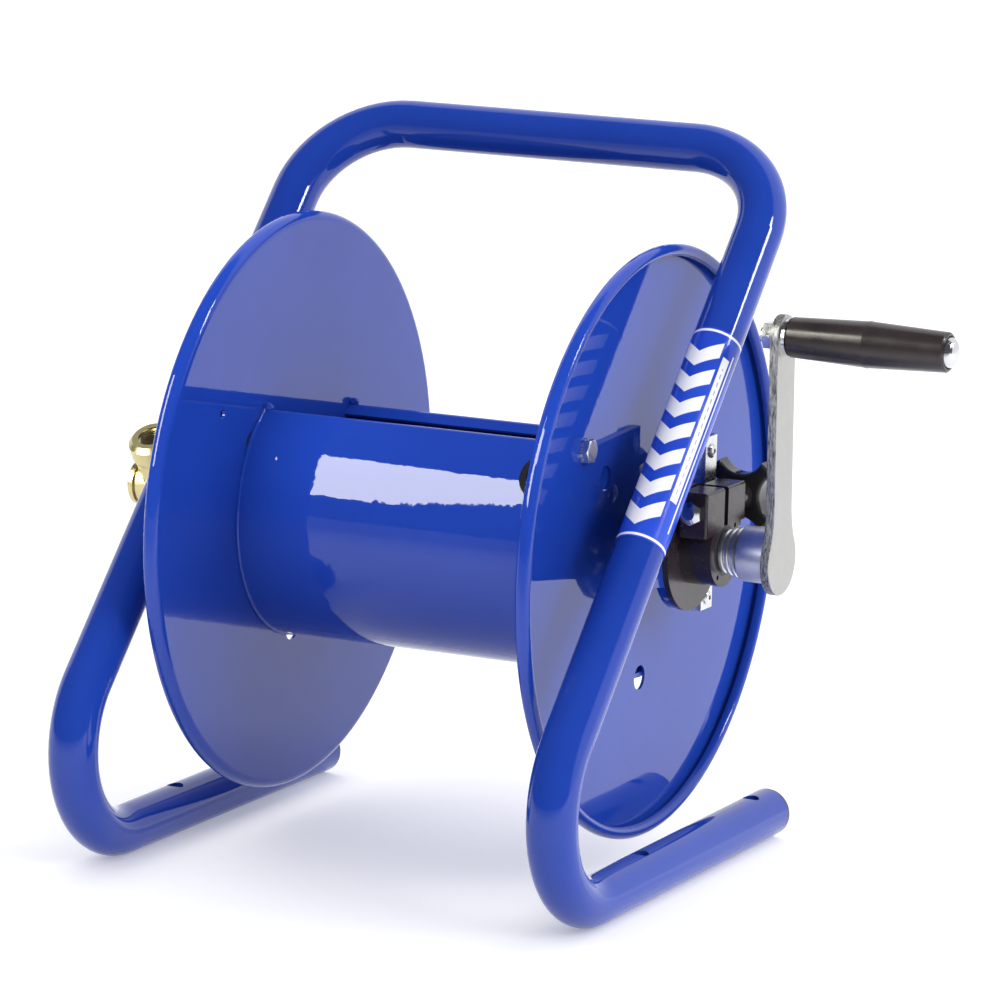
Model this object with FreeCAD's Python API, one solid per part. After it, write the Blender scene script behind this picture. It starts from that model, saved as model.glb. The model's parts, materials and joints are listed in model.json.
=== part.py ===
import FreeCAD, Part
import os
from math import sin, cos, tan, radians, pi, sqrt, hypot

# Portable hand-crank hose reel, in millimetres.
# X runs along the axle (crank at +X), -Y is the front, Z is up.
# The origin is on the floor, straight below the middle of the axle,
# in the centre of the four foot bolt holes.

os.makedirs("parts", exist_ok=True)
V = FreeCAD.Vector

# ---- driving dimensions -------------------------------------------------
TUBE_OD = 25.4            # 1 inch frame tube
TUBE_WALL = 2.1
LEG_SPACING = 268.0       # centre to centre
LEG_LEAN = 42.9           # degrees from vertical
BEND_R = 50.8             # centreline bend radius, 2 x tube
CORNER_Y = -238.0         # where leg and foot centrelines would cross
TOP_Y = 86.0              # handle centreline
FOOT_REAR_Y = 91.5        # end of the foot cap
FOOT_CAP_T = 1.5
FOOT_HOLE_PITCH = 137.0
FOOT_HOLE_R = 4.4

AXLE_Z = 169.3            # axle height above the floor
AXLE_R = 9.525            # 3/4 inch axle
AXLE_BORE = 6.0
AXLE_X0, AXLE_X1 = -152.0, 171.2
FIT = 0.05                # radial running clearance

DISC_R = 152.4            # 12 inch discs
DISC_X = 100.0            # middle of the disc sheet
SHEET = 1.5
RIM_BEND = 4.0
RIM_STRAIGHT = 0.8
RIM_CURL = 2.3
DRUM_R = 70.0
SLOT_REAR, SLOT_FRONT = 40.0, 127.5     # slot edges, degrees from +Y
HEM_BEND = 2.25
HEM = 6.0

PLATE_T = 5.0             # bearing brackets
PLATE_X = 124.3           # their outer face
PLATE_N = 4.0             # front edge, behind the leg's centreline
FLANGE_R, FLANGE_T = 32.5, 3.0
BODY_R = 18.5
BODY_END = 144.5
EAR_X0 = 129.0
EAR_Y, EAR_Z0, EAR_Z1 = 24.2, 9.0, 32.5
SPLIT = 4.6
BUSH_R = 13.0
STRAP_W, STRAP_T = 13.6, 1.5
STRAP_Y = 21.0
STRAP_Z0, STRAP_Z1 = -35.8, 54.0
RIVET_Z = (-29.8, 46.4)

CLAMP_X, CLAMP_Z = 136.5, 22.5
CLAMP_R = 3.175           # 1/4 inch bolt
KNOB_R, KNOB_T, KNOB_Y = 21.0, 11.0, 33.2

HUB_R, HUB_X0, HUB_X1 = 14.3, 155.9, 171.2
ARM_T = 4.8
ARM_HALF = 11.0
PADDLE_R, PADDLE_Z = 17.5, -2.0
THROW = 113.0
ARM_TILT = 2.0            # degrees towards the front at rest
GRIP_X0, GRIP_X1 = 178.6, 263.0
GRIP_MID = 220.5
GRIP_R = (10.2, 11.7, 10.1)
GRIP_BOLT_R = 3.97        # 5/16 inch bolt
GRIP_BORE = GRIP_BOLT_R + 0.08
DOME_R, DOME_H = 7.8, 6.4

PORT_TILT = 30.0          # inlet port leans forward from vertical
PORT_X = -181.0
PORT_L = 33.0
PORT_BORE, PORT_DEPTH = 7.5, 14.0       # 3/8 inch pipe thread, plain wall
COLLAR_R = 13.3
ELBOW_R = 11.3
ELBOW_X0, ELBOW_X1 = -199.0, -160.5
STEM_R = 8.0

RISER_ANGLE = 147.0       # degrees from +Y, also the grommet's angle
RISER_X = 70.0            # in line with the grommet
RISER_R, RISER_BORE = 8.0, 5.5
FITTING_R0, FITTING_R1 = 36.0, 54.0     # distances from the axle line
GROMMET_X, GROMMET_R, GROMMET_HOLE = RISER_X, 12.5, 8.5

LABEL_S0, LABEL_S1 = 230.6, 357.6
LABEL_T = 0.2

TR = TUBE_OD / 2
LEG_X = LEG_SPACING / 2
LEAN = radians(LEG_LEAN)
CORNER_Z = TR
TOP_Z = CORNER_Z + (TOP_Y - CORNER_Y) / tan(LEAN)


# ---- helpers ------------------------------------------------------------
def save(name, shape):
    assert shape.isValid(), name
    for s in shape.Solids:
        assert s.isValid() and s.Volume > 0, name
    shape.exportStep("parts/" + name + ".step")


def group(shapes):
    return Part.makeCompound([s for sh in shapes for s in sh.Solids])


def at(y, z, x=0.0):
    # a point given relative to the axle line
    return V(x, y, AXLE_Z + z)


def cyl_x(r, x0, x1, y=0.0, z=0.0):
    return Part.makeCylinder(r, x1 - x0, at(y, z, x0), V(1, 0, 0))


def ring_x(ro, ri, x0, x1, y=0.0, z=0.0):
    return cyl_x(ro, x0, x1, y, z).cut(cyl_x(ri, x0 - 1, x1 + 1, y, z))


def box(x0, x1, y0, y1, z0, z1):
    return Part.makeBox(x1 - x0, y1 - y0, z1 - z0, at(y0, z0, x0))


def polar(r, deg):
    return r * cos(radians(deg)), r * sin(radians(deg))


def hex_x(flats, x0, x1, y=0.0, z=0.0, chamfer=0.0):
    r = flats / sqrt(3)
    pts = [at(y + r * cos(radians(60 * i)), z + r * sin(radians(60 * i)), x0) for i in range(6)]
    body = Part.Face(Part.makePolygon(pts + pts[:1])).extrude(V(x1 - x0, 0, 0))
    if chamfer:
        cone = Part.makeCone(r + 0.02 + (x1 - x0) * 1.7, flats / 2 * 0.96, x1 - x0,
                             at(y, z, x0), V(1, 0, 0))
        body = body.common(cone)
    return body


def turned(points, place_y=0.0, place_z=0.0):
    # solid of revolution about a line parallel to X; points are (x, radius)
    pts = [at(place_y, place_z + r, x) for x, r in points]
    face = Part.Face(Part.makePolygon(pts + pts[:1]))
    return face.revolve(at(place_y, place_z), V(1, 0, 0), 360)


def arc_pts(c, r, a0, a1):
    am = (a0 + a1) / 2
    return [V(c[0] + r * cos(radians(a)), c[1] + r * sin(radians(a)), 0) for a in (a0, am, a1)]


def strip(path, t):
    # flat face of a bent sheet: path is tangent lines and arcs in a plane,
    # each ("line", p, q) or ("arc", centre, radius, a0, a1)
    h = t / 2
    sides = []
    for sgn in (1, -1):
        edges = []
        for seg in path:
            if seg[0] == "line":
                (x0, y0), (x1, y1) = seg[1], seg[2]
                d = hypot(x1 - x0, y1 - y0)
                nx, ny = -(y1 - y0) / d * h * sgn, (x1 - x0) / d * h * sgn
                edges.append((V(x0 + nx, y0 + ny, 0), None, V(x1 + nx, y1 + ny, 0)))
            else:
                turn = 1 if seg[4] > seg[3] else -1
                a, m, b = arc_pts(seg[1], seg[2] - sgn * turn * h, seg[3], seg[4])
                edges.append((a, m, b))
        sides.append(edges)
    out = []
    for a, m, b in sides[0]:
        out.append(Part.makeLine(a, b) if m is None else Part.Arc(a, m, b).toShape())
    out.append(Part.makeLine(sides[0][-1][2], sides[1][-1][2]))
    for a, m, b in reversed(sides[1]):
        out.append(Part.makeLine(b, a) if m is None else Part.Arc(b, m, a).toShape())
    out.append(Part.makeLine(sides[1][0][0], sides[0][0][0]))
    return Part.Face(Part.Wire(Part.__sortEdges__(out)))


def leg_point(s, n, x):
    # s along the leg from its lower corner, n square to it (towards the rear)
    y = CORNER_Y + s * sin(LEAN) + n * cos(LEAN)
    z = CORNER_Z + s * cos(LEAN) - n * sin(LEAN)
    return V(x, y, z)


def mirror_x(shape):
    return shape.mirror(V(0, 0, 0), V(1, 0, 0))


def soften(shape, r, pick):
    edges = [e for e in shape.Edges if pick(e)]
    return shape.makeFillet(r, edges) if edges else shape


# ---- frame tube: foot, tight bend, leaning leg, bend, top handle ---------
def bend(corner, to_prev, to_next):
    cosang = to_prev.dot(to_next)
    half = sqrt((1 - cosang) / 2)            # sine of half the angle
    bis = (to_prev + to_next).normalize()
    centre = corner + bis * (BEND_R / half)
    reach = BEND_R * sqrt(1 - half * half) / half
    return centre, reach


def tube_face(p, d, r):
    return Part.Face(Part.Wire(Part.makeCircle(r, p, d)))


def frame_tube(r):
    up = V(0, sin(LEAN), cos(LEAN))
    parts = []
    for s in (1, -1):
        low = V(s * LEG_X, CORNER_Y, CORNER_Z)
        high = V(s * LEG_X, TOP_Y, TOP_Z)
        rear = V(0, 1, 0)
        inward = V(-s, 0, 0)
        foot_end = V(s * LEG_X, FOOT_REAR_Y - FOOT_CAP_T, CORNER_Z)
        c1, t1 = bend(low, rear, up)
        a = low + rear * t1
        b = low + up * t1
        parts.append(tube_face(foot_end, V(0, -1, 0), r).extrude(a - foot_end))
        ang1 = (a - c1).getAngle(b - c1) * 180 / pi
        ax = (a - c1).cross(b - c1).normalize()
        parts.append(tube_face(a, rear, r).revolve(c1, ax, ang1))
        c2, t2 = bend(high, up * -1, inward)
        c = high - up * t2
        d = high + inward * t2
        parts.append(tube_face(b, up, r).extrude(c - b))
        ang2 = (c - c2).getAngle(d - c2) * 180 / pi
        ax = (c - c2).cross(d - c2).normalize()
        parts.append(tube_face(c, up, r).revolve(c2, ax, ang2))
        if s == 1:
            parts.append(tube_face(d, inward, r).extrude(V(-2 * d.x, 0, 0)))
    body = parts[0]
    return body.fuse(parts[1:]).removeSplitter()


tube = frame_tube(TR).cut(frame_tube(TR - TUBE_WALL))
for sx in (1, -1):
    for sy in (1, -1):
        tube = tube.cut(Part.makeCylinder(FOOT_HOLE_R, TUBE_OD + 10,
                                          V(sx * LEG_X, sy * FOOT_HOLE_PITCH / 2, -5), V(0, 0, 1)))
save("frame_tube", tube)

caps = []
for sx in (1, -1):
    y1 = FOOT_REAR_Y - FOOT_CAP_T
    cap = Part.makeCylinder(TR - 0.1, FOOT_CAP_T, V(sx * LEG_X, y1, TR), V(0, 1, 0))
    plug = Part.makeCylinder(TR - TUBE_WALL, 12, V(sx * LEG_X, y1 - 12, TR), V(0, 1, 0))
    caps.append(cap.fuse(plug).removeSplitter())
save("foot_caps", group(caps))

# ---- bearing brackets: plates coped to the rear inner side of each leg -----
SCREWS = [polar(24.0, a) for a in (100.0, 180.0, 260.0)]
SCREW_DEPTH = 2.4
PLATE_S0, PLATE_S1 = 208.0, 286.0
up = V(0, sin(LEAN), cos(LEAN))
leg_solid = Part.makeCylinder(TR, 480, V(LEG_X, CORNER_Y, CORNER_Z), up)


def bracket():
    x0 = PLATE_X - PLATE_T
    edge = STRAP_Y + STRAP_W / 2 + 0.8
    ring = [leg_point(PLATE_S0, PLATE_N, x0), leg_point(PLATE_S1, PLATE_N, x0), at(edge, STRAP_Z1, x0),
            at(edge, STRAP_Z0, x0), at(edge - 16, STRAP_Z0, x0), at(0, -FLANGE_R + 1, x0), at(-27.8, -16.5, x0)]
    p = Part.Face(Part.makePolygon(ring + ring[:1])).extrude(V(PLATE_T, 0, 0))
    p = p.fuse(cyl_x(FLANGE_R - 0.5, x0, PLATE_X)).removeSplitter()
    p = p.cut(leg_solid).cut(cyl_x(BODY_R - 2.9, x0 - 1, PLATE_X + 1))
    for z in RIVET_Z:
        p = p.cut(cyl_x(2.0, x0 - 1, PLATE_X + 1, STRAP_Y, z))
    for y, z in SCREWS:
        p = p.cut(cyl_x(2.5, x0 - 1, PLATE_X + 1, y, z))
    return max(p.Solids, key=lambda q: q.Volume)


right_bracket = bracket()
save("right_bearing_bracket", right_bracket)
save("left_bearing_bracket", mirror_x(right_bracket))

# weld beads where the bracket meets the leg
welds = []
for n, x in ((PLATE_N - 0.6, PLATE_X - PLATE_T + 1.3), (9.0, PLATE_X + 0.6)):
    bead = Part.makeCylinder(2.2, PLATE_S1 - PLATE_S0 - 8, leg_point(PLATE_S0 + 4, n, x), up)
    bead = bead.cut(leg_solid).cut(right_bracket)
    bead = max(bead.Solids, key=lambda q: q.Volume)
    welds += [bead, mirror_x(bead)]
save("bracket_welds", group(welds))

# ---- zinc straps down the rear edge of each bracket, two rivets each -------
strap = box(PLATE_X, PLATE_X + STRAP_T, STRAP_Y - STRAP_W / 2, STRAP_Y + STRAP_W / 2, STRAP_Z0, STRAP_Z1)
strap = strap.cut(cyl_x(BODY_R - 2.9, PLATE_X - 1, PLATE_X + 5))
for z in RIVET_Z:
    strap = strap.cut(cyl_x(2.0, PLATE_X - 1, PLATE_X + 5, STRAP_Y, z))
save("bearing_straps", group([strap, mirror_x(strap)]))
rivets = []
for z in RIVET_Z:
    x = PLATE_X + STRAP_T
    head = turned([(x, 0), (x, 3.8), (x + 0.7, 3.6), (x + 1.5, 2.8), (x + 1.9, 1.3), (x + 1.9, 0)], STRAP_Y, z)
    head = head.fuse([cyl_x(2.0, PLATE_X - PLATE_T - 1.2, x, STRAP_Y, z),
                      cyl_x(3.4, PLATE_X - PLATE_T - 1.4, PLATE_X - PLATE_T, STRAP_Y, z)])
    head = head.cut(cyl_x(1.2, x - 3, x + 3, STRAP_Y, z)).removeSplitter()
    rivets += [head, mirror_x(head)]
save("strap_rivets", group(rivets))

# ---- brake and bearing housing: flange, round body, split clamp on top ---
body = cyl_x(BODY_R, PLATE_X, BODY_END).fuse(cyl_x(BODY_R - 3.0, PLATE_X - PLATE_T, PLATE_X + 1))
block = box(EAR_X0, BODY_END, -EAR_Y, EAR_Y, EAR_Z0, EAR_Z1)
block = soften(block, 1.4, lambda e: True)
housing = cyl_x(FLANGE_R, PLATE_X, PLATE_X + FLANGE_T).fuse([body, block]).removeSplitter()
housing = housing.cut(box(PLATE_X - 1, PLATE_X + STRAP_T + 0.1, STRAP_Y - STRAP_W / 2 - 0.2, 60, -60, 60)
                      .cut(cyl_x(BODY_R - 3.0, 0, 200)))
housing = housing.cut(cyl_x(BUSH_R, PLATE_X - PLATE_T - 1, BODY_END + 1))
housing = housing.cut(box(EAR_X0 - 2, BODY_END + 1, -SPLIT / 2, SPLIT / 2, 0, 60))
housing = housing.cut(Part.makeCylinder(CLAMP_R, 80, at(-40, CLAMP_Z, CLAMP_X), V(0, 1, 0)))
housing = housing.cut(box(BODY_END - 4.5, BODY_END + 1, EAR_Y - 5.5, EAR_Y + 1, EAR_Z0 - 1, EAR_Z0 + 4))
housing = housing.cut(cyl_x(1.3, BODY_END - 3, BODY_END + 1, -8.3, -12.6))
housing = housing.cut(cyl_x(1.3, BODY_END - 3, BODY_END + 1, 11.5, 11.4))
for y, z in SCREWS:
    housing = housing.cut(cyl_x(2.5, PLATE_X - 1, PLATE_X + SCREW_DEPTH, y, z))
save("brake_housing", housing)

# ---- plain bearing housing on the left -----------------------------------
left = cyl_x(FLANGE_R, PLATE_X, PLATE_X + FLANGE_T).fuse(
    [cyl_x(BODY_R, PLATE_X, 140.0), cyl_x(BODY_R - 3.0, PLATE_X - PLATE_T, PLATE_X + 1)]).removeSplitter()
left = left.cut(box(PLATE_X - 1, PLATE_X + STRAP_T + 0.1, STRAP_Y - STRAP_W / 2 - 0.2, 60, -60, 60)
                .cut(cyl_x(BODY_R - 3.0, 0, 200)))
left = left.cut(cyl_x(BUSH_R, PLATE_X - PLATE_T - 1, 141.0))
for y, z in SCREWS:
    left = left.cut(cyl_x(2.5, PLATE_X - 1, PLATE_X + SCREW_DEPTH, y, z))
save("left_bearing_housing", mirror_x(left))

bushes = [ring_x(BUSH_R, AXLE_R + FIT, PLATE_X - PLATE_T, BODY_END),
          mirror_x(ring_x(BUSH_R, AXLE_R + FIT, PLATE_X - PLATE_T, 140.0))]
save("axle_bushings", group(bushes))

# screws come through the bracket from the reel side into the flanges
screws = []
for y, z in SCREWS:
    x = PLATE_X - PLATE_T
    end = PLATE_X + SCREW_DEPTH
    s = turned([(end, 0), (end, 2.5), (x, 2.5), (x, 4.6), (x - 1.2, 4.4), (x - 2.1, 3.0), (x - 2.3, 0)], y, z)
    for a in (0, 90):
        slot = box(x - 3, x - 1.3, y - 2.2, y + 2.2, z - 0.5, z + 0.5)
        slot.rotate(at(y, z), V(1, 0, 0), a)
        s = s.cut(slot)
    screws += [s, mirror_x(s)]
save("flange_screws", group(screws))

# ---- clamp bolt through the ears, knob on its rear end -------------------
bolt = Part.makeCylinder(CLAMP_R, EAR_Y + KNOB_Y + 6.0, at(-EAR_Y, CLAMP_Z, CLAMP_X), V(0, 1, 0))
head = Part.makeCylinder(6.4, 5.2, at(-EAR_Y - 5.2, CLAMP_Z, CLAMP_X), V(0, 1, 0))
r6 = 11.1 / sqrt(3)
hexpts = [at(-EAR_Y - 5.2, CLAMP_Z + r6 * sin(radians(60 * i + 30)), CLAMP_X + r6 * cos(radians(60 * i + 30)))
          for i in range(6)]
hexa = Part.Face(Part.makePolygon(hexpts + hexpts[:1])).extrude(V(0, 5.2, 0))
ball = Part.makeSphere(9.0, at(-EAR_Y + 3.2, CLAMP_Z, CLAMP_X))
save("clamp_bolt", hexa.common(ball).common(head.fuse(ball)).fuse(bolt).removeSplitter())

knob = Part.makeCylinder(KNOB_R, KNOB_T, at(KNOB_Y, CLAMP_Z, CLAMP_X), V(0, 1, 0))
for i in range(4):
    dx, dz = polar(24.2, 90 * i)
    knob = knob.cut(Part.makeCylinder(13.2, KNOB_T + 2, at(KNOB_Y - 1, CLAMP_Z + dz, CLAMP_X + dx), V(0, 1, 0)))
knob = soften(knob, 1.6, lambda e: abs(e.BoundBox.YLength) < 0.01)
boss_y = EAR_Y + 0.3
knob = knob.fuse(Part.makeCylinder(7.6, KNOB_Y + 0.5 - boss_y, at(boss_y, CLAMP_Z, CLAMP_X), V(0, 1, 0)))
knob = knob.cut(Part.makeCylinder(5.2, KNOB_T + 8, at(boss_y - 1, CLAMP_Z, CLAMP_X), V(0, 1, 0)).common(
    Part.makeBox(60, KNOB_T + KNOB_Y - boss_y - 3.0, 60, at(boss_y - 1, CLAMP_Z - 30, CLAMP_X - 30))))
save("brake_knob", knob.removeSplitter())
insert_y1 = KNOB_T + KNOB_Y - 4.0
insert = Part.makeCylinder(5.2, insert_y1 - boss_y, at(boss_y, CLAMP_Z, CLAMP_X), V(0, 1, 0))
insert = insert.cut(Part.makeCylinder(CLAMP_R + FIT, 60, at(boss_y - 1, CLAMP_Z, CLAMP_X), V(0, 1, 0)))
save("knob_insert", insert)

# ---- generic label wrapped round the outer side of the right leg ----------
base = leg_point(LABEL_S0, 0, LEG_X)
lab = Part.makeCylinder(TR + LABEL_T, LABEL_S1 - LABEL_S0, base, up)
lab = lab.cut(Part.makeCylinder(TR, 400, leg_point(LABEL_S0 - 50, 0, LEG_X), up))
front = V(0.45, -cos(LEAN), sin(LEAN)).normalize()
side = up.cross(front)
w = 40.0
q = [base + front * a + side * b for a, b in ((-2.5, -w), (-2.5, w), (w, w), (w, -w))]
cutter = Part.Face(Part.makePolygon(q + q[:1])).extrude(up * 400)
save("leg_label", lab.common(cutter))

# ---- reel discs: pressed sheet with the edge rolled outwards ---------------
RIM_C = DISC_R - SHEET / 2
flat_end = RIM_C - RIM_BEND
curl_c = RIM_C - RIM_CURL
curl_a = RIM_BEND + RIM_STRAIGHT
rim_path = [("line", (AXLE_R, 0), (flat_end, 0)),
            ("arc", (flat_end, RIM_BEND), RIM_BEND, -90, 0),
            ("line", (RIM_C, RIM_BEND), (RIM_C, curl_a)),
            ("arc", (curl_c, curl_a), RIM_CURL, 0, 180),
            ("line", (curl_c - RIM_CURL, curl_a), (curl_c - RIM_CURL, curl_a - 1.2))]


def disc(holes):
    # profile is drawn as (radius, outward) in XY, then stood up along X
    f = strip(rim_path, SHEET)
    m = FreeCAD.Matrix(0, 1, 0, DISC_X, 0, 0, 1, 0, 1, 0, 0, AXLE_Z, 0, 0, 0, 1)
    f = f.transformGeometry(m)
    d = f.revolve(at(0, 0), V(1, 0, 0), 360)
    if d.Volume < 0:
        d.reverse()
    for h in holes:
        d = d.cut(h)
    return d


def hole(r, y, z):
    return cyl_x(r, DISC_X - 5, DISC_X + 5, y, z)


HUB_BOLTS = [polar(25.0, a) for a in (45, 135, 225, 315)]
hub_holes = [hole(3.2, y, z) for y, z in HUB_BOLTS]
BOLT_AT = polar(96.8, 143.0)
TAB_HOLE_R = 6.4          # round openings over the edge of the drum
right_holes = hub_holes + [hole(CLAMP_R, *BOLT_AT), hole(TAB_HOLE_R, *polar(70.5, -93.0)),
                           hole(TAB_HOLE_R, *polar(66.0, 142.0))]
left_holes = hub_holes + [hole(2.4, *polar(104.0, 146.0)), hole(TAB_HOLE_R, *polar(67.5, -97.0)),
                          hole(TAB_HOLE_R, *polar(67.0, 145.0))]
save("right_disc", disc(right_holes))
save("left_disc", mirror_x(disc(left_holes)))

# ---- drum: one rolled sheet, open along the top, edges folded in ------------
RC = DRUM_R - SHEET / 2


def drum_face():
    # fold centres sit one bend radius inside the sheet's middle line
    rc2 = RC - HEM_BEND
    a_front, a_rear = SLOT_FRONT + 2.0, SLOT_REAR + 360 - 2.0
    pf, pr = polar(rc2, a_front), polar(rc2, a_rear)
    path = []
    q0 = (pf[0] + HEM_BEND * cos(radians(a_front - 90)), pf[1] + HEM_BEND * sin(radians(a_front - 90)))
    d0 = (-cos(radians(a_front)), -sin(radians(a_front)))
    tip = (q0[0] + HEM * d0[0], q0[1] + HEM * d0[1])
    path.append(("line", tip, q0))
    path.append(("arc", pf, HEM_BEND, a_front - 90, a_front))
    path.append(("arc", (0, 0), RC, a_front, a_rear))
    path.append(("arc", pr, HEM_BEND, a_rear, a_rear + 90))
    q1 = (pr[0] + HEM_BEND * cos(radians(a_rear + 90)), pr[1] + HEM_BEND * sin(radians(a_rear + 90)))
    d1 = (-cos(radians(a_rear)), -sin(radians(a_rear)))
    path.append(("line", q1, (q1[0] + HEM * d1[0], q1[1] + HEM * d1[1])))
    return strip(path, SHEET)


inner_x = DISC_X - SHEET / 2
f = drum_face()
m = FreeCAD.Matrix(0, 0, 1, -inner_x, 1, 0, 0, 0, 0, 1, 0, AXLE_Z, 0, 0, 0, 1)
drum = f.transformGeometry(m).extrude(V(2 * inner_x, 0, 0))
gy, gz = polar(1.0, RISER_ANGLE)
gdir = V(0, gy, gz)
GROOVE_R = GROMMET_HOLE + 1.8
drum = drum.cut(Part.makeCylinder(GROOVE_R, 30, at(0, 0, GROMMET_X) + gdir * (DRUM_R - 15), gdir))
save("drum_sheet", drum)

# rubber grommet: grooved ring seated in the drum's hole
g = []
for r, t0, t1 in ((GROMMET_R, 0.9, 3.1), (GROMMET_R, -4.6, -2.6)):
    g.append(soften(Part.makeCylinder(r, t1 - t0, at(0, 0, GROMMET_X) + gdir * (DRUM_R + t0), gdir), 0.9,
                    lambda e: e.BoundBox.DiagonalLength > 5 and len(e.Vertexes) == 1))
g.append(Part.makeCylinder(GROOVE_R, 6.0, at(0, 0, GROMMET_X) + gdir * (DRUM_R - 3.6), gdir))
grommet = g[0].fuse(g[1:])
grommet = grommet.cut(Part.makeCylinder(GROMMET_HOLE, 30, at(0, 0, GROMMET_X) + gdir * (DRUM_R - 15), gdir))
grommet = grommet.cut(drum)
save("drum_grommet", max(grommet.Solids, key=lambda q: q.Volume))

# ---- hubs, axle and the pieces threaded on it --------------------------------
hubs = []
hub = cyl_x(34.0, inner_x - 4.0, inner_x).fuse(cyl_x(16.0, inner_x - 20.0, inner_x)).removeSplitter()
hub = hub.cut(cyl_x(AXLE_R, 50, 150))
for y, z in HUB_BOLTS:
    hub = hub.cut(cyl_x(3.2, 50, 150, y, z))
save("disc_hubs", group([hub, mirror_x(hub)]))
hb = []
for y, z in HUB_BOLTS:
    x = DISC_X + SHEET / 2
    b = turned([(inner_x - 9.0, 0), (inner_x - 9.0, 3.2), (x, 3.2), (x, 7.0), (x + 1.0, 6.4), (x + 2.6, 3.6),
                (x + 3.2, 0)], y, z)
    nut = hex_x(11.1, inner_x - 9.0 + 0.5, inner_x - 4.0, y, z)
    b = b.fuse(nut).removeSplitter()
    hb += [b, mirror_x(b)]
save("hub_bolts", group(hb))

axle = cyl_x(AXLE_R, AXLE_X0, AXLE_X1).cut(cyl_x(AXLE_BORE, AXLE_X0 - 1, RISER_X + 8))
axle = axle.cut(Part.makeCylinder(RISER_BORE, 20, at(0, 0, RISER_X), gdir))
save("axle", axle)

collar = ring_x(14.0, AXLE_R, DISC_X + SHEET / 2 + 0.3, PLATE_X - PLATE_T - 0.6)
save("axle_collars", group([collar, mirror_x(collar)]))

washers = []
x = BODY_END + 0.5
for r in (11.2, 12.0, 12.8):
    w = turned([(x, AXLE_R), (x, r - 0.7), (x + 0.7, r), (x + 2.1, r), (x + 2.8, r - 0.7), (x + 2.8, AXLE_R)])
    washers.append(w)
    x += 3.4
save("hub_washers", group(washers))

hub_sleeve = ring_x(HUB_R, AXLE_R, HUB_X0, HUB_X1)
hub_sleeve = soften(hub_sleeve, 0.6, lambda e: abs(e.BoundBox.XMax - HUB_X0) < 0.01
                    and e.BoundBox.YLength > 2 * AXLE_R + 2)
save("crank_hub", hub_sleeve)

# ---- crank arm: flat bar with a rounded foot over the hub ---------------------
ARM_X1 = HUB_X1 + ARM_T
tilt = radians(ARM_TILT)
GRIP_Y, GRIP_Z = -THROW * sin(tilt), THROW * cos(tilt)
pts = [at(-ARM_HALF, 30, HUB_X1), at(-ARM_HALF, THROW, HUB_X1), at(ARM_HALF, THROW, HUB_X1),
       at(ARM_HALF, 30, HUB_X1)]
bar = Part.Face(Part.makePolygon(pts + pts[:1])).extrude(V(ARM_T, 0, 0))
fr = 46.0
ny = ARM_HALF + fr
nz = PADDLE_Z + sqrt((PADDLE_R + fr) ** 2 - ny ** 2)
ty, tz = ny * PADDLE_R / (PADDLE_R + fr), PADDLE_Z + (nz - PADDLE_Z) * PADDLE_R / (PADDLE_R + fr)
neck_pts = [at(-ny, nz, HUB_X1), at(-ty, tz, HUB_X1), at(ty, tz, HUB_X1), at(ny, nz, HUB_X1)]
neck = Part.Face(Part.makePolygon(neck_pts + neck_pts[:1])).extrude(V(ARM_T, 0, 0))
for s in (1, -1):
    neck = neck.cut(cyl_x(fr, HUB_X1 - 1, ARM_X1 + 1, s * ny, nz))
neck = neck.fuse(box(HUB_X1, ARM_X1, -ARM_HALF, ARM_HALF, nz - 1, 31))
arm = bar.fuse([neck, cyl_x(PADDLE_R, HUB_X1, ARM_X1, 0, PADDLE_Z), cyl_x(ARM_HALF, HUB_X1, ARM_X1, 0, THROW)])
arm = arm.removeSplitter().cut(cyl_x(GRIP_BOLT_R, HUB_X1 - 1, ARM_X1 + 1, 0, THROW))
arm.rotate(at(0, 0), V(1, 0, 0), ARM_TILT)
arm = soften(arm, 0.5, lambda e: e.BoundBox.XLength < 0.01 and e.Length > 30)
save("crank_arm", arm)

save("grip_nut", hex_x(12.7, HUB_X1 - 6.5, HUB_X1, GRIP_Y, GRIP_Z).cut(
    cyl_x(GRIP_BOLT_R, 100, 200, GRIP_Y, GRIP_Z)))
save("grip_washer", ring_x(9.6, GRIP_BOLT_R, ARM_X1, ARM_X1 + 2.2, GRIP_Y, GRIP_Z))
dome_x = GRIP_X1 - 1.7
n = 6
dome = [(dome_x, 0), (dome_x, DOME_R), (dome_x + 1.6, DOME_R)]
dome += [(dome_x + 1.6 + (DOME_H - 1.6) * sin(radians(90 * i / n)), DOME_R * cos(radians(90 * i / n)))
         for i in range(1, n)]
dome += [(dome_x + DOME_H, 0)]
grip_bolt = turned(dome, GRIP_Y, GRIP_Z).fuse(cyl_x(GRIP_BOLT_R, HUB_X1 - 8.4, dome_x, GRIP_Y, GRIP_Z))
save("grip_bolt", grip_bolt.removeSplitter())

# ---- turning grip --------------------------------------------------------------
g0, g1, g2 = GRIP_R
prof = [(GRIP_X0, GRIP_BORE), (GRIP_X0, g0 - 0.8), (GRIP_X0 + 0.8, g0), (GRIP_MID - 0.3, g1),
        (GRIP_MID + 0.3, g1), (GRIP_X1 - 0.9, g2), (GRIP_X1, g2 - 0.9), (GRIP_X1, DOME_R + 0.5),
        (GRIP_X1 - 2.0, DOME_R + 0.5), (GRIP_X1 - 2.0, GRIP_BORE)]
save("grip", turned(prof, GRIP_Y, GRIP_Z))

# ---- hose outlet riser inside the drum, pointing out through the grommet -----------
def along_riser(r, r0, r1):
    return Part.makeCylinder(r, r1 - r0, at(0, 0, RISER_X) + gdir * r0, gdir)


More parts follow.
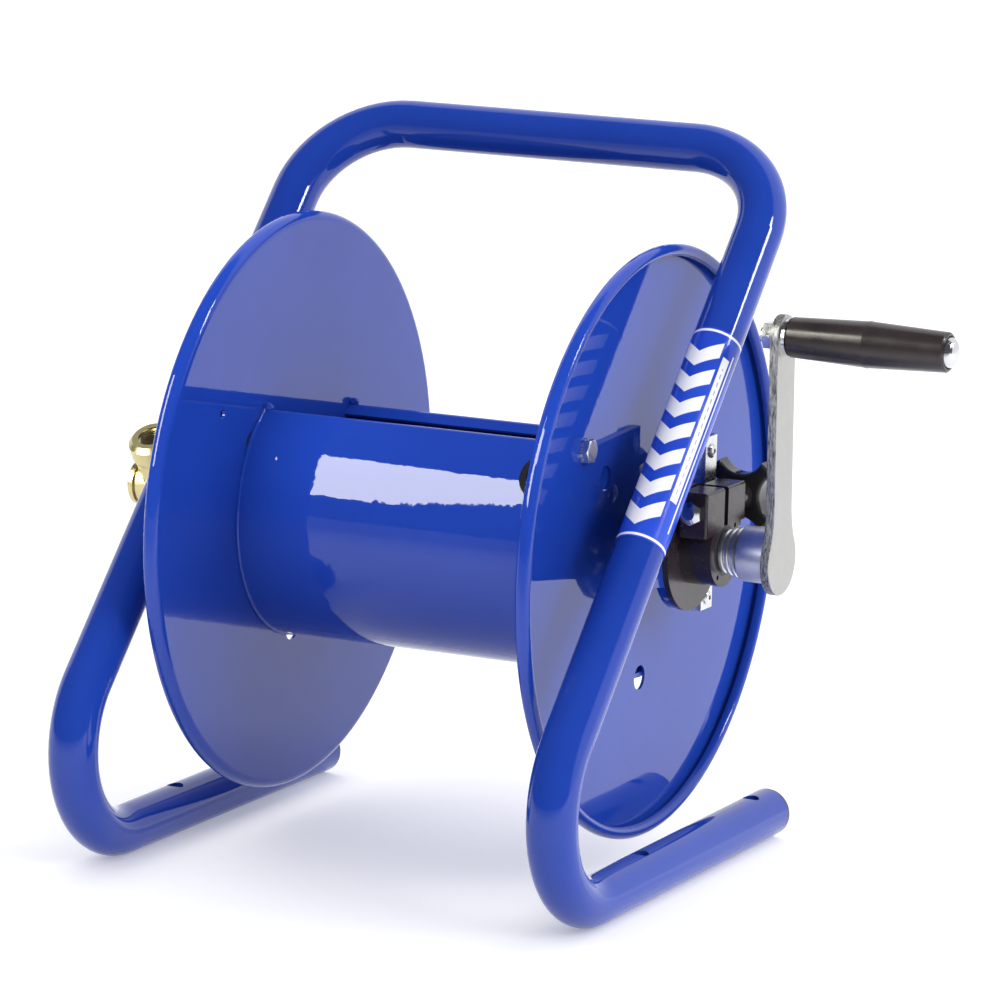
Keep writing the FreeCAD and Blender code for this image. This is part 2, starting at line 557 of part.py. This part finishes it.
pipe = along_riser(RISER_R, 0, FITTING_R0).cut(along_riser(RISER_BORE, -1, FITTING_R0 + 1))
save("riser_pipe", pipe.cut(cyl_x(AXLE_R, RISER_X - 30, RISER_X + 30)))
HEX_END = FITTING_R0 + 10.0
side = gdir.cross(V(1, 0, 0))
corner = 22.0 / sqrt(3)
pts = [at(0, 0, RISER_X) + gdir * FITTING_R0 + V(corner * cos(radians(60 * i)), 0, 0)
       + side * (corner * sin(radians(60 * i))) for i in range(6)]
fit = Part.Face(Part.makePolygon(pts + pts[:1])).extrude(gdir * (HEX_END - FITTING_R0))
fit = fit.fuse(along_riser(10.6, HEX_END, FITTING_R1)).removeSplitter()
fit = fit.cut(along_riser(RISER_BORE, FITTING_R0 - 1, FITTING_R1))
fit = fit.cut(along_riser(PORT_BORE, FITTING_R1 - PORT_DEPTH, FITTING_R1 + 1))
save("riser_fitting", fit)

# ---- hex bolt, tooth washer and nut on the right disc ---------------------------------
bx = DISC_X + SHEET / 2
by, bz = BOLT_AT
save("disc_bolt", hex_x(11.1, bx + 1.2, bx + 4.6, by, bz, chamfer=1).fuse(
    cyl_x(CLAMP_R, inner_x - 7.5, bx + 2, by, bz)).removeSplitter())
teeth = cyl_x(6.2, bx, bx + 1.2, by, bz)
for i in range(12):
    ty2, tz2 = polar(6.4, 30 * i)
    teeth = teeth.cut(cyl_x(0.9, bx - 1, bx + 3, by + ty2, bz + tz2))
save("disc_bolt_washer", teeth.cut(cyl_x(CLAMP_R, bx - 1, bx + 3, by, bz)))
save("disc_bolt_nut", hex_x(11.1, inner_x - 5.6, inner_x, by, bz).cut(cyl_x(CLAMP_R, 50, 150, by, bz)))

# ---- brass swivel: stem turns with the axle, elbow stays still ---------------------------
stem = hex_x(20.6, AXLE_X0 - 7.0, AXLE_X0, 0, 0).fuse([cyl_x(STEM_R, ELBOW_X1 - 12.0, AXLE_X0 - 7.0),
                                                       cyl_x(AXLE_BORE, AXLE_X0, AXLE_X0 + 12.0)])
stem = stem.removeSplitter().cut(cyl_x(4.2, -200, -100))
save("swivel_stem", stem)

pd = V(0, -sin(radians(PORT_TILT)), cos(radians(PORT_TILT)))
pc = at(0, 0, PORT_X)
elbow = cyl_x(ELBOW_R, ELBOW_X0 + 5.0, ELBOW_X1)
elbow = elbow.fuse(turned([(ELBOW_X0, 0), (ELBOW_X0, 10.8), (ELBOW_X0 + 1.2, 12.0), (ELBOW_X0 + 3.6, 12.0),
                           (ELBOW_X0 + 3.6, 10.4), (ELBOW_X0 + 5.2, 10.4), (ELBOW_X0 + 5.2, 0)]))
neck = Part.makeCone(10.2, 10.8, PORT_L - 14.0, pc, pd)
flare = Part.makeCone(10.6, COLLAR_R, 5.0, pc + pd * (PORT_L - 15.5), pd)
collar = Part.makeCylinder(COLLAR_R, 8.0, pc + pd * (PORT_L - 10.5), pd)
lip = Part.makeCone(COLLAR_R, COLLAR_R - 2.5, 2.5, pc + pd * (PORT_L - 2.5), pd)
elbow = elbow.fuse([neck, flare, collar, lip, cyl_x(12.4, ELBOW_X1 - 5.0, ELBOW_X1)]).removeSplitter()
elbow = elbow.cut(Part.makeCylinder(PORT_BORE, PORT_DEPTH + 5, pc + pd * (PORT_L - PORT_DEPTH), pd))
elbow = elbow.cut(Part.makeCylinder(5.5, PORT_L, pc, pd))
elbow = elbow.cut(cyl_x(5.5, PORT_X - 4, ELBOW_X1 + 1))
elbow = elbow.cut(cyl_x(STEM_R + FIT, ELBOW_X1 - 12.5, ELBOW_X1 + 1))
save("inlet_elbow", elbow)
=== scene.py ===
import json
import math
import bpy
import bmesh
from mathutils import Matrix, Vector


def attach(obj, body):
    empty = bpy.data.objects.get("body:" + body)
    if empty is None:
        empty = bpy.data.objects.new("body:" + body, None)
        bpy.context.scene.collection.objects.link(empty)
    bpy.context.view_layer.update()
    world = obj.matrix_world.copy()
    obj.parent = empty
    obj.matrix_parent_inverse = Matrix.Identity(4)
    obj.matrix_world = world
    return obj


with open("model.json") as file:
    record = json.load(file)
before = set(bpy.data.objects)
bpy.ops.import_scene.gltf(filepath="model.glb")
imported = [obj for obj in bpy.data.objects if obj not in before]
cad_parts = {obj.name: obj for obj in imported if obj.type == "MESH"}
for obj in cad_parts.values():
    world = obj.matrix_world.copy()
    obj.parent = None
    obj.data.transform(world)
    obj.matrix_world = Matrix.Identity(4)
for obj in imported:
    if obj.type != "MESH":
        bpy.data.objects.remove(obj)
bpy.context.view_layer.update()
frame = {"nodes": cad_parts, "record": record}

NODES = frame["nodes"]

# ---------------------------------------------------------------- shared sizes, in metres
AXLE_Z = 0.1693                                 # height of the axle over the floor

# right leg and the label round it
TUBE_R = 0.0127
LEG_LEAN = math.radians(42.9)                   # from upright, towards the back
LEG_UP = Vector((0, math.sin(LEG_LEAN), math.cos(LEG_LEAN)))
LEG_FOOT = Vector((0.134, -0.238, TUBE_R))      # where the centre lines of leg and foot meet
LABEL_BASE = LEG_FOOT + LEG_UP * 0.2306         # lower edge of the label
LABEL_FACE = Vector((0.487, -0.640, 0.5946))    # outwards through the middle of the label
LABEL_SIDE = LEG_UP.cross(LABEL_FACE)

# drum: its wall starts at the front edge of the slot and runs underneath to the rear edge
DRUM_R = 0.0700
DRUM_END = 0.0985
DRUM_FROM, DRUM_TO = 127.5, 400.0               # degrees round the axle, from the back upwards

# brass swivel elbow, and the hose outlet inside the drum
PORT_TILT = math.radians(30)                    # from upright, towards the front
PORT_AXIS = Vector((0, -math.sin(PORT_TILT), math.cos(PORT_TILT)))
PORT_CENTRE = Vector((-0.181, 0, AXLE_Z))
PORT_MOUTH = PORT_CENTRE + PORT_AXIS * 0.0325
RISER_TURN = math.radians(147)
RISER_AXIS = Vector((0, math.cos(RISER_TURN), math.sin(RISER_TURN)))
OUTLET_MOUTH = Vector((0.070, 0, AXLE_Z)) + RISER_AXIS * 0.0535
THREAD_R = 0.0075                               # bore of both ports
THREAD_PITCH = 0.00141

# crank grip
CRANK_THROW = 0.113
CRANK_LEAN = math.radians(2)                    # from upright, towards the front
GRIP_MIDDLE = Vector((0.2205, -CRANK_THROW * math.sin(CRANK_LEAN),
                      AXLE_Z + CRANK_THROW * math.cos(CRANK_LEAN)))
GRIP_R = 0.0117                                 # at its widest


# ---------------------------------------------------------------- camera
def photo_camera():
    """A long lens in front, to the right and above, as in the photograph."""
    eye = Vector((1.19394, -2.395997, 0.678151))
    yaw, pitch, roll = math.radians(25.953), math.radians(10.509), math.radians(1.549)
    ahead = Vector((-math.sin(yaw) * math.cos(pitch), math.cos(yaw) * math.cos(pitch), -math.sin(pitch)))
    right = Vector((math.cos(yaw), math.sin(yaw), 0))
    up = right.cross(ahead)
    cam_x = right * math.cos(roll) + up * math.sin(roll)
    cam_y = up * math.cos(roll) - right * math.sin(roll)
    cam = bpy.data.objects.new("camera", bpy.data.cameras.new("camera"))
    cam.data.lens = 189.468
    cam.data.shift_x, cam.data.shift_y = -0.018931, -0.001635
    cam.data.clip_end = 60
    cam.matrix_world = Matrix((
        (cam_x.x, cam_y.x, -ahead.x, eye.x),
        (cam_x.y, cam_y.y, -ahead.y, eye.y),
        (cam_x.z, cam_y.z, -ahead.z, eye.z),
        (0, 0, 0, 1)))
    bpy.context.scene.collection.objects.link(cam)
    bpy.context.scene.camera = cam
    bpy.context.scene.view_settings.view_transform = "Standard"


photo_camera()


# ---------------------------------------------------------------- materials
class Mat:
    """One material's node tree, with short calls for the nodes used here."""

    def __init__(self, name):
        self.material = bpy.data.materials.new(name)
        self.material.use_nodes = True
        self.tree = self.material.node_tree
        self.shader = self.tree.nodes["Principled BSDF"]
        self.coords = self.tree.nodes.new("ShaderNodeTexCoord")

    def feed(self, node, key, value):
        """Link or set an input. The key is its name with _ for each space, or _ and its number."""
        by_number = key[0] == "_" and key[1:].isdigit()
        socket = node.inputs[int(key[1:])] if by_number else node.inputs[key.replace("_", " ")]
        if isinstance(value, bpy.types.NodeSocket):
            self.tree.links.new(value, socket)
        else:
            socket.default_value = value

    def node(self, kind, **inputs):
        made = self.tree.nodes.new("ShaderNode" + kind)
        for key, value in inputs.items():
            self.feed(made, key, value)
        return made

    def set(self, **inputs):
        for key, value in inputs.items():
            self.feed(self.shader, key, value)

    def noise(self, scale, detail=3.0, rough=0.5, stretch=(1, 1, 1)):
        mapped = self.node("Mapping", Vector=self.coords.outputs["Object"], Scale=stretch)
        made = self.node("TexNoise", Vector=mapped.outputs[0], Scale=scale, Detail=detail, Roughness=rough)
        return made.outputs["Fac"]

    def ramp(self, value, low, high, to_low=0.0, to_high=1.0):
        made = self.node("MapRange", Value=value, From_Min=low, From_Max=high, To_Min=to_low, To_Max=to_high)
        return made.outputs[0]

    def mix(self, factor, first, second):
        made = self.tree.nodes.new("ShaderNodeMix")
        made.data_type = "RGBA"
        self.feed(made, "_0", factor)
        for key, colour in (("_6", first), ("_7", second)):
            is_link = isinstance(colour, bpy.types.NodeSocket)
            self.feed(made, key, colour if is_link else (*colour, 1))
        return made.outputs[2]

    def calc(self, operation, first, second=0.0):
        made = self.tree.nodes.new("ShaderNodeMath")
        made.operation = operation
        self.feed(made, "_0", first)
        self.feed(made, "_1", second)
        return made.outputs[0]

    def times(self, first, *others):
        for other in others:
            first = self.calc("MULTIPLY", first, other)
        return first

    def bump(self, height, distance, strength):
        return self.node("Bump", Height=height, Distance=distance, Strength=strength).outputs[0]


def powder_coat():
    """Smooth, wet-looking blue paint with a very fine orange peel."""
    m = Mat("blue_powder_coat")
    tone = m.ramp(m.noise(9, 4), 0.35, 0.65)
    m.set(Base_Color=m.mix(tone, (0.0085, 0.036, 0.285), (0.011, 0.044, 0.325)),
          Roughness=m.ramp(m.noise(60, 3), 0.3, 0.7, 0.015, 0.03), IOR=1.47)
    m.set(Normal=m.bump(m.noise(260, 2, 0.4), 0.00003, 0.5))
    return m.material


def zinc(name, base=(0.74, 0.75, 0.76), rough=(0.2, 0.34), scale=500):
    """Plated steel: cloudy tone, fine grain."""
    m = Mat(name)
    cloud = m.noise(70, 5, 0.6)
    grain = m.noise(scale, 4, 0.6)
    dark = tuple(c * 0.82 for c in base)
    m.set(Base_Color=m.mix(m.ramp(cloud, 0.3, 0.7), dark, base), Metallic=1.0,
          Roughness=m.ramp(grain, 0.3, 0.7, *rough), Normal=m.bump(grain, 0.00002, 0.6))
    return m.material


def sheared_bar():
    """Plated flat bar: smooth faces to left and right, torn and darker sheared edges between them."""
    m = Mat("sheared_bar")
    facing_x = m.node("SeparateXYZ", Vector=m.coords.outputs["Normal"]).outputs[0]
    edge = m.ramp(m.calc("ABSOLUTE", facing_x), 0.55, 0.8, 1.0, 0.0)
    tears = m.noise(900, 6, 0.7, (1.0, 1.0, 0.18))
    grain = m.noise(160, 5, 0.55)
    plate = m.mix(m.ramp(grain, 0.3, 0.7), (0.43, 0.43, 0.42), (0.455, 0.455, 0.445))
    torn = m.mix(m.ramp(tears, 0.38, 0.62), (0.08, 0.08, 0.09), (0.50, 0.50, 0.49))
    rough = m.ramp(m.times(edge, tears), 0.0, 1.0, 0.34, 0.62)
    m.set(Base_Color=m.mix(edge, plate, torn), Metallic=1.0, Roughness=rough)
    height = m.calc("ADD", m.times(edge, tears, 6.0), m.times(grain, 0.25))
    m.set(Normal=m.bump(height, 0.00005, 0.7))
    return m.material


def plastic(name, base, rough, bump=0.00003, scale=700):
    """Moulded plastic or rubber: faint clouds in the tone, fine grain."""
    m = Mat(name)
    cloud = m.noise(45, 4)
    grain = m.noise(scale, 3, 0.5)
    light = tuple(c * 1.5 for c in base)
    m.set(Base_Color=m.mix(m.ramp(cloud, 0.35, 0.65), base, light),
          Roughness=m.ramp(m.noise(120, 4), 0.3, 0.7, *rough), Normal=m.bump(grain, bump, 0.5))
    return m.material


def brass():
    """Satin cast brass."""
    m = Mat("brass")
    tone = m.ramp(m.noise(60, 5, 0.6), 0.3, 0.7)
    m.set(Base_Color=m.mix(tone, (0.60, 0.52, 0.26), (0.67, 0.585, 0.31)), Metallic=1.0,
          Roughness=m.ramp(m.noise(300, 4), 0.3, 0.7, 0.26, 0.38),
          Normal=m.bump(m.noise(420, 4), 0.000015, 0.4))
    return m.material


def label_vinyl():
    """Printed wrap: a line at each end, a row of plain chevrons, a thin rule and a blank data strip.

    Sizes in here are millimetres: s runs up the leg from the label's lower edge, v runs round the leg.
    """
    length = 127.0
    line_in, line_out = 1.0, 2.4                # each end line, from its end of the label
    chevron_pitch, chevron_band = 16.0, (1.0, 10.0)
    chevron_tip, chevron_slope = -7.5, 0.75
    chevrons_start, chevrons_over = 6.0, (0.3, 106.5)
    chevrons_round = (-18.5, 3.5)
    strip_round, strip_over = (5.2, 9.6), (26.0, length - 14.0)
    rule_round, rule_over = (11.0, 12.0), (10.0, length - 10.0)
    dash_round, dash_over = (7.0, 7.8), (30.0, length - 20.0)
    dash_pitch, dash_band = 5.0, (0.8, 3.6)
    m = Mat("label_vinyl")

    def along(axis):
        offset = m.node("VectorMath", _0=m.coords.outputs["Object"], _1=tuple(-c for c in LABEL_BASE))
        dot = m.tree.nodes.new("ShaderNodeVectorMath")
        dot.operation = "DOT_PRODUCT"
        m.feed(dot, "_0", offset.outputs[0])
        m.feed(dot, "_1", tuple(axis))
        return m.times(dot.outputs["Value"], 1000.0)

    def band(x, low, high, soft=0.12):
        rising = m.ramp(x, low - soft, low + soft)
        falling = m.ramp(x, high - soft, high + soft, 1.0, 0.0)
        return m.times(rising, falling)

    s = along(LEG_UP)
    v = m.times(m.calc("ARCTAN2", along(LABEL_SIDE), along(LABEL_FACE)), TUBE_R * 1000)
    field = m.mix(m.ramp(m.noise(40, 3), 0.3, 0.7), (0.012, 0.05, 0.46), (0.018, 0.07, 0.56))
    ends = m.calc("MAXIMUM", band(s, line_in, line_out), band(s, length - line_out, length - line_in))
    from_tip = m.calc("ABSOLUTE", m.calc("SUBTRACT", v, chevron_tip))
    run = m.calc("ADD", m.calc("SUBTRACT", s, chevrons_start), m.times(from_tip, -chevron_slope))
    wave = m.calc("MODULO", m.calc("ADD", run, chevron_pitch), chevron_pitch)
    marks = m.times(band(wave, *chevron_band), band(v, *chevrons_round), band(run, *chevrons_over))
    strip = m.times(band(v, *strip_round), band(s, *strip_over))
    rule = m.times(band(v, *rule_round), band(s, *rule_over))
    beat = m.calc("MODULO", s, dash_pitch)
    dashes = m.times(band(v, *dash_round), band(s, *dash_over), band(beat, *dash_band))
    white = m.calc("MAXIMUM", m.calc("MAXIMUM", ends, marks), m.calc("MAXIMUM", strip, rule))
    ink = m.mix(white, field, (0.80, 0.80, 0.82))
    ink = m.mix(m.times(dashes, 0.75), ink, (0.22, 0.24, 0.34))
    m.set(Base_Color=ink, Roughness=m.ramp(m.noise(90, 3), 0.3, 0.7, 0.12, 0.2), IOR=1.5,
          Normal=m.bump(m.noise(300, 3), 0.00002, 0.4))
    return m.material


BY_SLOT = {
    "blue_powder_coat": powder_coat(),
    "zinc_steel": zinc("zinc_steel"),
    "bright_zinc": zinc("bright_zinc", (0.72, 0.73, 0.76), (0.12, 0.22), scale=300),
    "black_plastic": plastic("black_plastic", (0.017, 0.012, 0.015), (0.2, 0.3)),
    "grip_plastic": plastic("grip_plastic", (0.016, 0.012, 0.013), (0.17, 0.27), scale=300, bump=0.00006),
    "black_rubber": plastic("black_rubber", (0.014, 0.014, 0.015), (0.45, 0.6)),
    "brass": brass(),
    "bushing_plastic": plastic("bushing_plastic", (0.03, 0.03, 0.032), (0.4, 0.55)),
    "label_vinyl": label_vinyl(),
}
BY_NODE = {
    "crank_arm": sheared_bar(),
    "brake_knob": plastic("knob_plastic", (0.012, 0.011, 0.012), (0.08, 0.16)),
}
TURNED_PIECES = ("hub_washers", "crank_hub", "disc_bolt", "disc_bolt_washer")
TURNED_ZINC = zinc("turned_zinc", (0.84, 0.85, 0.86), (0.28, 0.42), scale=300)
BY_NODE.update(dict.fromkeys(TURNED_PIECES, TURNED_ZINC))


def dress_cad_nodes():
    for subpart in frame["record"]["subparts"]:
        finish = BY_NODE.get(subpart["node"], BY_SLOT[subpart["material_slot"]])
        mesh = NODES[subpart["node"]].data
        mesh.materials.clear()
        mesh.materials.append(finish)


dress_cad_nodes()


# ---------------------------------------------------------------- added detail
ADDED = []


def add_piece(name, bm, body, material, smooth=True):
    """Turn a bmesh into a piece that rides on a body."""
    mesh = bpy.data.meshes.new(name)
    bm.to_mesh(mesh)
    bm.free()
    for face in mesh.polygons:
        face.use_smooth = smooth
    piece = bpy.data.objects.new(name, mesh)
    bpy.context.scene.collection.objects.link(piece)
    mesh.materials.append(material)
    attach(piece, body)
    ADDED.append(piece)


def join_rings(bm, rings, closed=False):
    """Faces between rings of as many corners each; closed also joins the last ring to the first."""
    corners = len(rings[0])
    for ring, following in zip(rings, rings[1:] + (rings[:1] if closed else [])):
        for j in range(corners):
            k = (j + 1) % corners
            bm.faces.new((ring[j], ring[k], following[k], following[j]))


def circle(radius, count):
    turns = (2 * math.pi * i / count for i in range(count))
    return [(radius * math.cos(a), radius * math.sin(a)) for a in turns]


def round_axle(x, radius, degrees):
    """A point at a radius and angle about the axle."""
    a = math.radians(degrees)
    return Vector((x, radius * math.cos(a), AXLE_Z + radius * math.sin(a)))


def path_frames(points, closed):
    """Each point with two directions square to the path, carried along without twist."""
    count = len(points)
    carried = None
    for i, point in enumerate(points):
        after = points[(i + 1) % count] if closed or i < count - 1 else point
        before = points[i - 1] if closed or i > 0 else point
        ahead = (after - before).normalized()
        if carried is None:
            carried = Vector((1, 0, 0)) if abs(ahead.x) < 0.9 else Vector((0, 1, 0))
        carried = (carried - ahead * carried.dot(ahead)).normalized()
        yield point, carried, ahead.cross(carried)


def sweep(name, points, profile, body, material, closed=False, swell=lambda i: 1.0):
    """A closed 2-D profile carried along points; swell(i) scales it at point i."""
    bm = bmesh.new()
    rings = []
    for i, (point, a, b) in enumerate(path_frames(points, closed)):
        size = swell(i)
        rings.append([bm.verts.new(point + a * (u * size) + b * (w * size)) for u, w in profile])
    join_rings(bm, rings, closed)
    if not closed:
        bm.faces.new(rings[0][::-1])
        bm.faces.new(rings[-1])
    bmesh.ops.recalc_face_normals(bm, faces=bm.faces)
    add_piece(name, bm, body, material)


def weld_tack(name, centre, size, seed):
    """A lumpy painted blob on the reel."""
    bm = bmesh.new()
    bmesh.ops.create_icosphere(bm, subdivisions=3, radius=1.0)
    for vert in bm.verts:
        d = vert.co.copy()
        lump = 1 + 0.10 * math.sin(5 * d.x + seed) * math.cos(4 * d.z + 2 * seed) + 0.06 * math.sin(9 * d.y)
        vert.co = centre + Vector((d.x * size[0], d.y * size[1], d.z * size[2])) * lump
    add_piece(name, bm, "reel", BY_SLOT["blue_powder_coat"])


def drum_seams():
    """A painted bead where the drum meets each disc, with a weld tack at each edge of the slot."""
    bead = circle(0.0011, 10)
    steps = 150
    tack_size, tack_inset = (0.0030, 0.0022, 0.0022), 0.0012
    angles = [DRUM_FROM + (DRUM_TO - DRUM_FROM) * i / steps for i in range(steps + 1)]
    for side, outward in (("right", 1), ("left", -1)):
        x = outward * DRUM_END
        arc = [round_axle(x, DRUM_R, degrees) for degrees in angles]
        sweep("drum_seam_" + side, arc, bead, "reel", BY_SLOT["blue_powder_coat"],
              swell=lambda i: 1 + 0.12 * math.sin(i * 1.7))
        for edge, degrees in (("front", DRUM_FROM - 0.5), ("rear", DRUM_TO - 360 + 0.5)):
            weld_tack("slot_tack_%s_%s" % (side, edge), round_axle(x - outward * tack_inset, DRUM_R, degrees),
                      tack_size, degrees + x * 40)


def thread(name, mouth, axis, body):
    """Ridge of an internal thread, running in from the mouth of a port and fading at both ends."""
    depth, turns, lead_in = 0.0007, 8.5, 0.0006
    per_turn, fade = 40, 12
    wall = THREAD_R + 0.0001                    # the ridge's root, just inside the metal
    half = axis * (0.42 * THREAD_PITCH)         # half the ridge's width at its root
    across = Vector((1, 0, 0))
    side = axis.cross(across)
    steps = int(turns * per_turn)
    bm = bmesh.new()
    rings = []
    for i in range(steps + 1):
        a = 2 * math.pi * i / per_turn
        out = across * math.cos(a) + side * math.sin(a)
        centre = mouth - axis * (lead_in + THREAD_PITCH * i / per_turn)
        crest = THREAD_R - depth * min(1.0, i / fade, (steps - i) / fade)
        section = (centre + out * wall + half, centre + out * crest, centre + out * wall - half)
        rings.append([bm.verts.new(corner) for corner in section])
    join_rings(bm, rings)
    bmesh.ops.recalc_face_normals(bm, faces=bm.faces)
    add_piece(name, bm, body, BY_SLOT["brass"], smooth=False)


def elbow_shoulder():
    """Eight-sided cast block between the elbow's barrel and its collar, hollow round the bore.

    Its sides narrow towards the barrel, and its lower edge is a saddle that sinks into the barrel.
    """
    top, flat_top, flat_low = 0.0213, 0.0119, 0.0110
    inner, saddle_r = 0.0090, 0.0100
    corner_limit = 1.06                         # how far a corner stands out, as a ratio to the flats
    eighth = math.pi / 4
    steps, rows = 96, 5
    across = Vector((1, 0, 0))
    side = PORT_AXIS.cross(across)

    def saddle(r, phi):
        return math.sqrt(max(0.0, saddle_r ** 2 - (r * math.sin(phi)) ** 2))

    def outer(height, corner):
        return corner * (flat_low + (flat_top - flat_low) * height / top)

    bm = bmesh.new()
    rings = []
    for i in range(steps):
        phi = 2 * math.pi * i / steps
        corner = min(corner_limit, 1 / math.cos((phi + eighth / 2) % eighth - eighth / 2))
        low = outer(saddle(outer(0.0, corner), phi), corner)
        radii = [low + (inner - low) * j / rows for j in range(rows + 1)]
        section = [(outer(top, corner), top)] + [(r, saddle(r, phi)) for r in radii] + [(inner, top)]
        spoke = across * math.cos(phi) + side * math.sin(phi)
        rings.append([bm.verts.new(PORT_CENTRE + spoke * r + PORT_AXIS * height) for r, height in section])
    join_rings(bm, rings, closed=True)
    bmesh.ops.recalc_face_normals(bm, faces=bm.faces)
    add_piece("elbow_shoulder", bm, "inlet_swivel", BY_SLOT["brass"], smooth=False)


def grip_parting_line():
    """Mould parting line round the widest part of the grip."""
    ring = [GRIP_MIDDLE + Vector((0, y, z)) for y, z in circle(GRIP_R, 64)]
    sweep("grip_parting_line", ring, circle(0.00018, 8), "crank_grip", BY_SLOT["grip_plastic"], closed=True)


drum_seams()
thread("inlet_thread", PORT_MOUTH, PORT_AXIS, "inlet_swivel")
thread("outlet_thread", OUTLET_MOUTH, RISER_AXIS, "reel")
elbow_shoulder()
grip_parting_line()


# ---------------------------------------------------------------- studio
def floor():
    """White paper that fades to a pale grey out in front, so the paint mirrors less of it. The white part also
    glows by emission, painted light that brightens it and pales the shadows on it.
    """
    painted_glow = 0.30
    grey_y, white_y = -1.1, -0.42
    bm = bmesh.new()
    bmesh.ops.create_circle(bm, cap_ends=True, segments=96, radius=14.0)
    mesh = bpy.data.meshes.new("floor")
    bm.to_mesh(mesh)
    bm.free()
    paper = bpy.data.objects.new("floor", mesh)
    bpy.context.scene.collection.objects.link(paper)
    m = Mat("floor_paper")
    y = m.node("SeparateXYZ", Vector=m.coords.outputs["Object"]).outputs[1]
    whiteness = m.ramp(y, grey_y, white_y)
    white = m.mix(m.noise(3, 3), (0.80, 0.80, 0.805), (0.84, 0.84, 0.845))
    # Painted light: the white part of the paper glows by emission, which brightens it and pales the shadows
    # cast on it.
    m.set(Base_Color=m.mix(whiteness, (0.46, 0.46, 0.47), white), Roughness=0.9,
          Emission_Color=(1, 1, 1, 1), Emission_Strength=m.times(whiteness, painted_glow))
    mesh.materials.append(m.material)


def surroundings():
    """A room that is white behind, and dark in front and overhead.

    The border between the two leans 20 degrees back from straight up.
    """
    world = bpy.data.worlds.new("studio")
    bpy.context.scene.world = world
    world.use_nodes = True
    nodes, links = world.node_tree.nodes, world.node_tree.links
    coords = nodes.new("ShaderNodeTexCoord")
    backness = nodes.new("ShaderNodeVectorMath")
    backness.operation = "DOT_PRODUCT"
    backness.inputs[1].default_value = (0, 0.94, -0.34)
    links.new(coords.outputs["Generated"], backness.inputs[0])
    border = nodes.new("ShaderNodeMapRange")
    border.interpolation_type = "SMOOTHSTEP"
    border.inputs["From Min"].default_value = -0.06
    border.inputs["From Max"].default_value = 0.10
    links.new(backness.outputs["Value"], border.inputs["Value"])
    shade = nodes.new("ShaderNodeMix")
    shade.data_type = "RGBA"
    shade.inputs[6].default_value = (0.10, 0.10, 0.11, 1)
    shade.inputs[7].default_value = (1.05, 1.05, 1.07, 1)
    links.new(border.outputs[0], shade.inputs[0])
    links.new(shade.outputs[2], nodes["Background"].inputs["Color"])


def panel(name, size, place, target, power, diffuse=True, glossy=True, colour=(1, 1, 1), on=None):
    """A rectangular light aimed at a target; `on` lists the only pieces that it lights."""
    light = bpy.data.lights.new(name, "AREA")
    light.shape = "RECTANGLE"
    light.size, light.size_y = size
    light.energy, light.color = power, colour
    lamp = bpy.data.objects.new(name, light)
    lamp.location = place
    lamp.rotation_euler = (Vector(target) - Vector(place)).to_track_quat("-Z", "Y").to_euler()
    lamp.visible_diffuse, lamp.visible_glossy = diffuse, glossy
    bpy.context.scene.collection.objects.link(lamp)
    if on is not None:
        lit = bpy.data.collections.new(name + "_lit")
        for piece in on:
            lit.objects.link(piece)
        lamp.light_linking.receiver_collection = lit


def lights():
    """In the photo the softbox shows on the reel, crank and brass, and not on the frame."""
    without_softbox = {"frame_tube", "leg_label", "foot_caps", "right_bearing_bracket", "left_bearing_bracket",
                       "bracket_welds", "brake_housing", "left_bearing_housing", "clamp_bolt", "drum_grommet"}
    painted_or_plastic = {"drum_sheet", "left_disc", "right_disc", "grip", "brake_knob"}
    frame_side = [piece for name, piece in NODES.items() if name in without_softbox]
    reel_side = [piece for name, piece in NODES.items() if name not in without_softbox]
    reel_side += ADDED
    not_metal = without_softbox | painted_or_plastic
    bare_metal = [piece for name, piece in NODES.items() if name not in not_metal]
    middle = (0, 0, 0.2)
    key_size, key_place = (2.2, 1.6), (-0.6, -2.6, 2.2)
    panel("softbox_top", (0.8, 1.1), (-1.14, -1.47, 1.25), (0, -0.1, 0.2), 41, diffuse=False,
          colour=(1, 0.98, 0.84), on=reel_side)
    panel("metal_fill", (2.4, 1.2), (-1.5, -2.6, 1.0), middle, 40, diffuse=False, on=bare_metal)
    panel("sky", (24, 24), (0, 0, 5.0), (0, 0, 0), 1500, glossy=False)
    panel("key_front", key_size, key_place, middle, 100, glossy=False, on=reel_side)
    panel("key_front_frame", key_size, key_place, middle, 34, glossy=False, on=frame_side)
    panel("key_side", (1.6, 1.6), (2.8, -0.6, 1.6), middle, 35, glossy=False)
    panel("strip_right", (0.30, 0.75), (2.42, 0.66, 1.88), (0.1, 0, 0.2), 18, diffuse=False)


floor()
surroundings()
lights()
